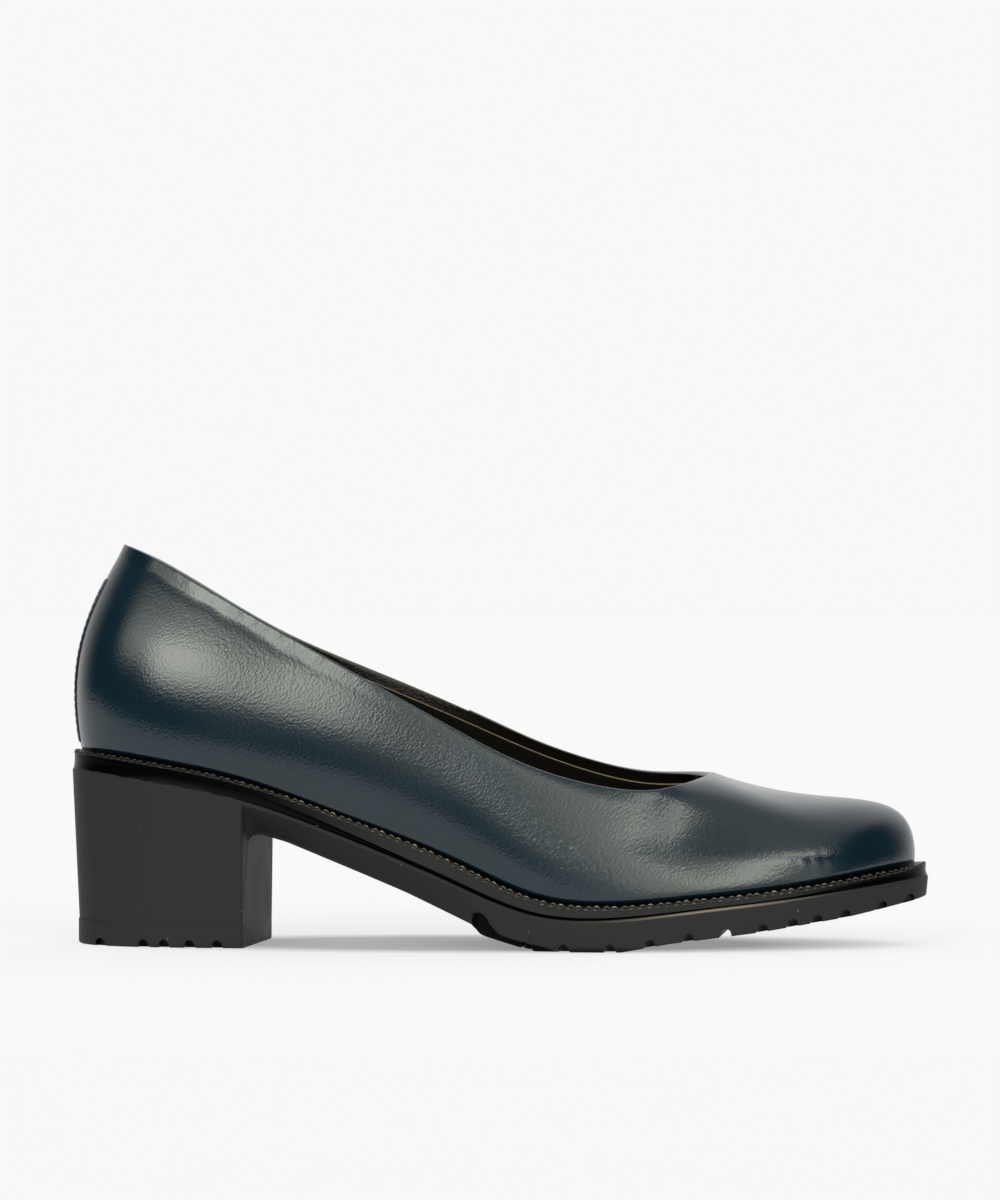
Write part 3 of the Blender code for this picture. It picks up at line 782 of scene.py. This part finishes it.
def welt_strip():
    """Flat welt round the foot of the upper: a strip with rounded edges, carried round the outline."""
    loop = even_loop(620)
    columns = columns_at(loop)
    # Painted shade: the welt is coloured near black over the cove round the heel and the toe
    painted_shade = cove_share(station_of(loop))
    low, high, edge = sole_top(columns) + 0.02, welt_top(columns, loop), rim_edge(columns, loop)
    rings = [ring(columns, edge, low), ring(columns, edge, low + 0.2)]
    rings += [ring(columns, edge - WELT_ROUND * (1 - math.cos(a)), high - WELT_ROUND * (1 - math.sin(a)))
              for a in np.linspace(0, math.pi / 2, 8)]
    rings += [ring(columns, -WELT_INWARD, high), ring(columns, -WELT_INWARD, low)]
    band = np.array(rings)
    piece("welt_strip", band, WELT_RUBBER, ["welt"],
          marks={"cove": np.broadcast_to(painted_shade, band.shape[:2])}, sharp=40)


def welt_rope():
    """Rope stitch on the welt's edge: an upper cord that rises in pairs of loops and a wavy cord below it.

    The phase counts stitches along the path, closer together round the heel. In each stitch the upper cord
    makes two arches, the sine's size over two half turns; the lower cord swings as a sine.
    """
    fine = even_loop(3600)
    columns = columns_at(fine)
    path = ring(columns, rim_edge(columns, fine) - 0.05, welt_top(columns, fine) - 0.35)
    run = length_along(path)
    station = station_of(fine)
    front = smooth(3.2, 4.2, station)
    glint_share = 1 - ROPE_DIM_ENDS * (1 - smooth(2.2, 4.0, station) + smooth(9.2, 10.4, station))
    pitch = HEEL_STITCH_PITCH + (STITCH_PITCH - HEEL_STITCH_PITCH) * front
    phase = np.concatenate([[0], np.cumsum(np.diff(run) / pitch[1:])])
    phase *= round(phase[-1]) / phase[-1]
    inside = np.clip((phase % 1) / 0.84, 0, 1)
    arch = np.abs(np.sin(2 * math.pi * inside)) ** 0.8
    swing = np.sin(4 * math.pi * phase)
    size = (0.8 + 0.2 * front - 0.5 * smooth(10.0, 10.9, station)) * (1 + 0.12 * waver(run / 1.9))
    out = np.column_stack([columns["normal"], np.zeros(len(fine))])
    rope_path = path + UP * (size * (0.1 + ROPE_RISE * arch))[:, None] - out * (ROPE_LEAN * arch)[:, None]
    cord_path = path + UP * (size * (-0.15 + 0.14 * swing))[:, None]
    # Painted highlights: light on the crowns of the loops and in dashes along the cord, fewer round heel and
    # toe
    glint = arch**3 * (0.45 + 0.55 * smooth(0.45, 0.7, inside)) * (0.7 + 0.3 * waver(run / 0.8))
    dashes = smooth(0.1, 0.9, np.sin(4 * math.pi * phase + 0.8)) * (0.3 + 0.25 * waver(run / 0.9))
    for name, way, radius, crown in (
        ("welt_rope_loops", rope_path, ROPE_RADIUS * size, glint_share * glint),
        ("welt_rope_cord", cord_path, CORD_RADIUS * size, glint_share * np.clip(dashes, 0, 1)),
    ):
        points = tube(way, radius, 7)
        piece(name, points, ROPE, marks={"crown": np.broadcast_to(crown, points.shape[:2])})


def slot_height(stations, places):
    """Height of the tread slots above the underside: a rounded arch across each place."""
    x = lateral_x(stations)
    gap = np.abs(x[:, None] - np.asarray(places) * PERCENT).min(1)
    return SLOT_HEIGHT * np.clip(1 - (gap / (SLOT_WIDTH / 2)) ** 2, 0, 1) ** 0.5


def slot_stations(places, low, high):
    """Stations close together across each slot, and even ones between."""
    x = (np.asarray(places) * PERCENT)[:, None] + np.linspace(-1.75, 1.75, 17)
    near = station_at(x.ravel())
    even = np.linspace(low, high, int((high - low) * 14) + 1)
    both = np.concatenate([even, near])
    return np.unique(np.round(both[(both >= low) & (both <= high)], 4))


def cove_share(stations):
    """Where the rim is a cove, painted near black as shade: all round the heel and again round the toe."""
    return 1 - smooth(2.9, 4.8, stations) + smooth(8.6, 10.2, stations)


def side_rows(loop, base, tuck, corner):
    """Rows down the sole's side, and how much painted shade each gets: rim, groove or cove, ledge, side,
    rounded lower edge.

    The rim's flat band ends in a groove, a half sine across it; at heel and toe the groove widens into a
    cove that takes the whole rim. The tread's rear end is scooped out under a falling curve.
    """
    columns = columns_at(loop)
    station = station_of(loop)
    cove = cove_share(station)
    rim, edge = rim_edge(columns, loop), columns["overhang"] + LEDGE_OUT
    top, ledge = sole_top(columns), columns["seat"] - columns["rim"]
    start = 0.02 + 0.66 * (1 - cove)
    rows = [ring(columns, rim, top + (ledge - top) * start * g) for g in np.linspace(0, 1, 7)]
    # Painted shade: the cove is coloured near black, and every row of the groove below the rim too
    marks = [cove] * 7
    turn = LEDGE_ROUND * (1 - 0.75 * cove)
    for g in np.linspace(0, 1, 12)[1:]:
        hollow = (GROOVE_DEPTH + (COVE_DEPTH - GROOVE_DEPTH) * cove) * math.sin(math.pi * g) ** 0.7
        flush = cove * g * (edge - turn - rim)
        rows.append(ring(columns, rim + flush - hollow, top + (ledge - top) * (start + (1 - start) * g)))
        marks.append(np.ones(len(loop)))
    for a in np.linspace(math.pi / 2, 0, 5):
        rows.append(ring(columns, edge - turn + turn * math.cos(a), ledge - turn + turn * math.sin(a)))
        marks.append(np.zeros(len(loop)))
    high, low = ledge - LEDGE_LIP, base + corner
    line = np.clip((high - MOULD_LINE) / (high - low), 0.07, 0.20)
    back = 0.10 * (1 - smooth(0.5, 1.1, station))
    for k, g in enumerate([0, 0.05, line - 0.006, line, line + 0.006, *np.linspace(0.23, 1, 24)]):
        ridge = back if k == 3 else 0
        rows.append(ring(columns, edge - tuck * g + ridge, high + (low - high) * g))
    for a in np.linspace(0, math.pi / 2, 6)[1:]:
        inward = tuck + corner * (1 - math.cos(a))
        rows.append(ring(columns, edge - inward, base + corner * (1 - math.sin(a))))
    scoop_x, scoop_z = np.array(SCOOP).T
    curve = np.interp(columns["foot_x"], scoop_x, scoop_z, left=0, right=0)
    inset = SCOOP_DEPTH * smooth(scoop_x[0], scoop_x[1], columns["foot_x"])
    # Painted shade where the sole meets the floor: its lowest rows darker in front of the breast
    painted_contact_shade = 0.7 * (1 - smooth(0.2, 2.2, base)) * (station > BREAST)
    # Painted shade: the scooped rear end of the tread is coloured near black
    for row in rows[len(marks) :]:
        scoop = smooth(0, 0.8, curve - row[:, 2])
        row[:, :2] -= columns["normal"] * (inset * scoop)[:, None]
        marks.append(np.maximum(0.9 * scoop, painted_contact_shade * (1 - smooth(0.3, 2.0, row[:, 2]))))
    return np.array(rows), np.array(marks)


def across_sole(count):
    """Shares of the way across the underside, closer together near its two edges."""
    even = np.linspace(0, 1, count + 2)[1:-1]
    return even - 0.8 * np.sin(2 * math.pi * even) / (2 * math.pi)


def closed_section(sides, bottom_steps, top_steps):
    """A closed profile at each station: down the lateral side, across, up the medial side, across the top."""
    lateral, medial = sides
    across = across_sole(bottom_steps)[:, None, None]
    bottom = lateral[-1] * (1 - across) + medial[-1] * across
    across = np.linspace(0, 1, top_steps + 2)[1:-1, None, None]
    top = medial[0] * (1 - across) + lateral[0] * across
    return np.concatenate([lateral, bottom, medial[::-1], top])


def blind_slots(band, first, count, drop):
    """Fills each slot but the open one under the middle of the sole: its roof comes down by drop there."""
    across = across_sole(count)
    inward = smooth(SLOT_INWARD, SLOT_INWARD + 0.03, np.minimum(across, 1 - across))
    band[first : first + count, :, 2] -= inward[:, None] * drop


def drawn_in(sides, inset, rows):
    """Moves rows of both sides towards the middle in plan by inset, to round an upright edge."""
    middle = (sides[0] + sides[1]) / 2
    for side in sides:
        inward = (middle - side) * [1, 1, 0]
        span = np.linalg.norm(inward, axis=2, keepdims=True) + 1e-6
        side += inward / span * (inset * rows[:, None])[..., None]


def breast_round(stations):
    """How far the heel's sides draw in just behind the breast: a quarter circle."""
    corner = np.clip((BREAST_X - lateral_x(stations)) / BREAST_ROUND, 0, 1)
    return BREAST_ROUND * (1 - np.sqrt(1 - (1 - corner) ** 2))


def sole_unit():
    """Sole and heel in one: closed profiles from heel to toe, with the breast's wall between two of them."""
    ahead = station_at(BREAST_X + np.array(FILLET_STEPS))
    scoop = station_at(np.arange(SCOOP[0][0] - 0.6, SCOOP[-1][0], 0.4))
    close = station_at(BREAST_X - np.array(BREAST_STEPS))
    stations = [slot_stations(FOREFOOT_SLOTS, 0, TOE), ahead, scoop, [BREAST], close]
    stations = np.unique(np.concatenate(stations))
    stations = stations[(stations <= BREAST) | (stations >= ahead[0])]
    in_heel = stations <= BREAST
    x = lateral_x(stations)
    slots = slot_height(stations, FOREFOOT_SLOTS)
    fillet = np.clip((x - BREAST_X) / BREAST_FILLET, 0, 1)
    base = underside(stations, "height") + slots
    base -= BREAST_FILLET * (1 - np.sqrt(1 - (1 - fillet) ** 2))
    base = np.where(in_heel, TOP_PIECE + 0.02, base)
    tuck = np.where(in_heel, HEEL_TUCK, underside(stations, "tuck"))
    deep = np.clip(slots / SLOT_HEIGHT * 2, 0, 1)[None] * ~in_heel
    corner = np.where(in_heel, 0.05, EDGE_ROUND - 0.75 * deep[0])
    made = [side_rows(loop, base, tuck, corner) for loop in (stations, ROUND - stations)]
    sides = [rows for rows, marks in made]
    rounded = smooth(*BREAST_ROWS, np.arange(len(sides[0])))
    drawn_in(sides, np.where(in_heel, breast_round(stations), 0), rounded)
    band = closed_section(sides, BOTTOM_STEPS, 3)
    blind = np.where(np.abs(x - OPEN_SLOT * PERCENT) < SLOT_WIDTH, 0, slots)
    blind_slots(band, len(sides[0]), BOTTOM_STEPS, np.where(in_heel, 0, blind))
    painted_shade = made[0][1]
    # Painted shade: the roofs of the slots are coloured near black, with the side's marks
    marks = np.concatenate([painted_shade, deep.repeat(BOTTOM_STEPS, 0), painted_shade[::-1], np.zeros((3, len(stations)))])
    # Painted highlight along the ledge round the ball
    ledge_highlight = np.zeros(marks.shape)
    ledge_highlight[LEDGE_ROWS[0] : LEDGE_ROWS[1]] = bell(x, LEDGE_HIGHLIGHT[0], LEDGE_HIGHLIGHT[1])
    piece("sole_unit_rubber", band, RUBBER, ["sole_unit"], (True, False),
          marks={"cove": marks, "ledge_highlight": ledge_highlight}, sharp=38)


def heel_top_piece():
    """Wearing lift: closed profiles from the heel's back to the breast, where they close in a point."""
    close = station_at(BREAST_X - np.array((0.0, *BREAST_STEPS)))
    stations = np.unique(np.concatenate([slot_stations(HEEL_SLOTS, 0, BREAST), close]))
    slots = slot_height(stations, HEEL_SLOTS)
    deep = np.clip(slots / SLOT_HEIGHT * 2, 0, 1)
    corner = EDGE_ROUND - 0.75 * deep
    proud = 0.25 * (1 - smooth(0.5, 1.6, stations))
    sides = []
    for loop in (stations, ROUND - stations):
        columns = columns_at(loop)
        out = columns["overhang"] + LEDGE_OUT - HEEL_TUCK - breast_round(stations) + proud
        rows = [ring(columns, out - 0.08, TOP_PIECE), ring(columns, out - 0.02, TOP_PIECE - 0.02),
                ring(columns, out, TOP_PIECE - 0.3)]
        low = slots + corner - TOP_PIECE + 0.3
        rows += [ring(columns, out, TOP_PIECE - 0.3 + low * g) for g in np.linspace(0.2, 1, 5)]
        rows += [ring(columns, out - corner * (1 - math.cos(a)), slots + corner * (1 - math.sin(a)))
                 for a in np.linspace(0, math.pi / 2, 6)[1:]]
        sides.append(np.array(rows))
    band = closed_section(sides, BOTTOM_STEPS, 3)
    blind_slots(band, len(sides[0]), BOTTOM_STEPS, slots)
    closing = np.broadcast_to(band[:, -1].mean(0), (len(band), 1, 3))
    band = np.concatenate([band, closing], 1)
    # Painted shade: the roofs of the slots are coloured near black
    marks = np.zeros(band.shape[:2])
    marks[len(sides[0]) : len(sides[0]) + BOTTOM_STEPS] = np.append(deep, 0)
    piece("heel_top_piece_rubber", band, RUBBER, ["heel_top_piece"], (True, False),
          marks={"cove": marks}, sharp=38)


def insole_sock():
    """Insole under its sock: a closed slab with a flat top that falls off round its edge."""
    stations = np.linspace(0, TOE, 160)
    sides = []
    for loop in (stations, ROUND - stations):
        columns = columns_at(loop)
        low = sole_top(columns) + GAP
        rows = [ring(columns, -INSOLE_INSET - SOCK_ROUND * (1 - math.cos(a)),
                     low + INSOLE - SOCK_ROUND * (1 - math.sin(a))) for a in np.linspace(math.pi / 2, 0, 5)]
        rows.append(ring(columns, -INSOLE_INSET, low))
        sides.append(np.array(rows))
    band = closed_section(sides, 3, 24)
    piece("insole_sock", band, SOCK, ["insole"], (True, False), sharp=50)


upper_leather()
lining()
lining_edge()
back_strip()
seam_stitches()
welt_strip()
welt_rope()
sole_unit()
heel_top_piece()
insole_sock()


FLOOR_SHADE = (105.0, 42.0)   # half axes of the ellipse under the shoe where the floor glows less: a painted shadow


def floor():
    """Plain pale floor lit from below as well, less in an ellipse under the shoe as a painted shadow; it runs
    on behind it.
    """
    finish, tree, shader = finish_of("pale_light_table", "#898989", 1.0, Specular_IOR_Level=0.0,
                                     Emission_Color=colour("#FFFFFF"))
    place = node(tree, "TexCoord", out="Object")
    ellipse = (per_metre(FLOOR_SHADE[0]), per_metre(FLOOR_SHADE[1]), 0)
    share = node(tree, "VectorMath", [(0, place), (1, ellipse)], operation="MULTIPLY")
    apart = node(tree, "VectorMath", [(0, share)], operation="LENGTH")
    glow = node(tree, "MapRange", [("Value", apart), ("From Min", 0.7), ("From Max", 1.15),
                                   ("To Min", 0.30), ("To Max", 0.70)])
    grain = node(tree, "TexNoise", [("Vector", place), ("Scale", per_metre(400))])
    shade = node(tree, "Mix", [("Factor", grain), ("A", colour("#888889")), ("B", colour("#89898A"))],
                 data_type="RGBA")
    feed(tree, shader, [("Emission Strength", glow), ("Base Color", shade)])
    side, front, behind = 4.0, -0.38, 30.0
    mesh = bpy.data.meshes.new("floor")
    mesh.from_pydata([(-side, front, 0), (side, front, 0), (side, behind, 0), (-side, behind, 0)], [],
                     [(0, 1, 2, 3)])
    mesh.materials.append(finish)
    made = bpy.data.objects.new("floor", mesh)
    bpy.context.scene.collection.objects.link(made)


# Softboxes and reflectors: azimuth from and to (0 towards the camera, plus towards the toe), its soft edge;
# elevation from and to, the soft edges of each, all in degrees; strength
SOFTBOXES = (
    (-58, -8, 14, 22, 40, 7, 10, 3.2),   # wide glow on the back of the quarter
    (-34, -9, 5, 14, 31, 5, 3, 6.2),     # its bright core
    (4, 14, 10, 7, 42, 3, 6, 4.0),       # waist
    (17, 35, 5, 12, 29, 4, 4, 6.2),      # beside the throat and low on the vamp
    (25, 52, 7, 31, 43, 6, 5, 5.2),      # side of the vamp
    (16, 69, 8, 44, 56, 4, 6, 0.6),      # top of the vamp
    (-8, 22, 14, -10, 10, 4, 5, 1.2),    # low reflectors under the lamps
    (34, 49, 9, -10, 15, 2, 4, 1.5),
)
SOFTBOX_TINT = (0.985, 1.0, 0.88)
OVERHEAD = 0.75


def studio():
    """Soft studio light by direction: white behind, dark on the camera's side but for its softboxes."""
    world = bpy.data.worlds.new("studio")
    bpy.context.scene.world = world
    world.use_nodes = True
    tree = world.node_tree
    way = node(tree, "TexCoord", out="Generated")
    axis = node(tree, "SeparateXYZ", [("Vector", way)]).node.outputs
    front = node(tree, "Math", [(0, axis["Y"]), (1, -1.0)], operation="MULTIPLY")
    turn = node(tree, "Math", [(0, axis["X"]), (1, front)], operation="ARCTAN2")
    climb = node(tree, "Math", [(0, axis["Z"])], operation="ARCSINE")
    aside = node(tree, "Math", [(0, turn)], operation="ABSOLUTE")
    # Each ramp: what is measured, from and to in degrees, value before and after
    ramps = [
        (climb, 44, 68, 0.05, 1.0),      # light on the camera's side
        (climb, 14, 35, 0.9387, 1.30),   # light behind
        (aside, 95, 140, 0, 1),          # where it goes over from the first to the second
        (climb, 50, 75, 0, 1),           # where it goes over to the light overhead
    ]
    for az_from, az_to, soft, el_from, el_to, soft_low, soft_high, strength in SOFTBOXES:
        ramps += [(turn, az_from - soft, az_from + soft, 0, strength),
                  (turn, az_to - soft, az_to + soft, 1, 0),
                  (climb, el_from - soft_low, el_from + soft_low, 0, 1),
                  (climb, el_to - soft_high, el_to + soft_high, 1, 0)]
    made = [node(tree, "MapRange",
                 [("Value", by), ("From Min", math.radians(low)), ("From Max", math.radians(high)),
                  ("To Min", before), ("To Max", after)], interpolation_type="SMOOTHSTEP")
            for by, low, high, before, after in ramps]
    near, far, behind, over = made[:4]
    light = node(tree, "Mix", [("Factor", behind), ("A", near), ("B", far)])
    light = node(tree, "Mix", [("Factor", over), ("A", light), ("B", OVERHEAD)])
    boxes = 0.0
    for first in range(4, len(made), 4):
        mask = 1.0
        for edge in made[first : first + 4]:
            mask = node(tree, "Math", [(0, edge), (1, mask)], operation="MULTIPLY")
        boxes = node(tree, "Math", [(0, mask), (1, boxes)], operation="ADD")
    grey = node(tree, "CombineXYZ", [("X", boxes), ("Y", boxes), ("Z", boxes)])
    warm = node(tree, "VectorMath", [(0, grey), (1, SOFTBOX_TINT), (2, light)],
                operation="MULTIPLY_ADD")
    # The backdrop itself is an even white, whatever the lamps in front of it
    seen = node(tree, "LightPath", out="Is Camera Ray")
    plain = node(tree, "Mix", [("Factor", seen), ("A", warm), ("B", colour("#F8F8F8"))], data_type="RGBA")
    feed(tree, tree.nodes["Background"], [("Color", plain)])


def camera():
    """Level camera at the shoe's lateral side, turned a little towards the toe."""
    focal_px, tall_px = 5529.6, 1200
    away, aim_x, eye_z = 1600.0, 0.3, 99.4
    turn = math.radians(2.5)
    data = bpy.data.cameras.new("camera")
    data.sensor_width = 36
    data.lens = 36 * focal_px / tall_px
    data.clip_end = 100
    made = bpy.data.objects.new("camera", data)
    made.location = ((aim_x + away * math.sin(turn)) * MM, -away * math.cos(turn) * MM, eye_z * MM)
    made.rotation_euler = (math.pi / 2, 0, turn)
    bpy.context.scene.collection.objects.link(made)
    bpy.context.scene.camera = made


floor()
studio()
camera()
bpy.context.scene.view_settings.view_transform = "Standard"
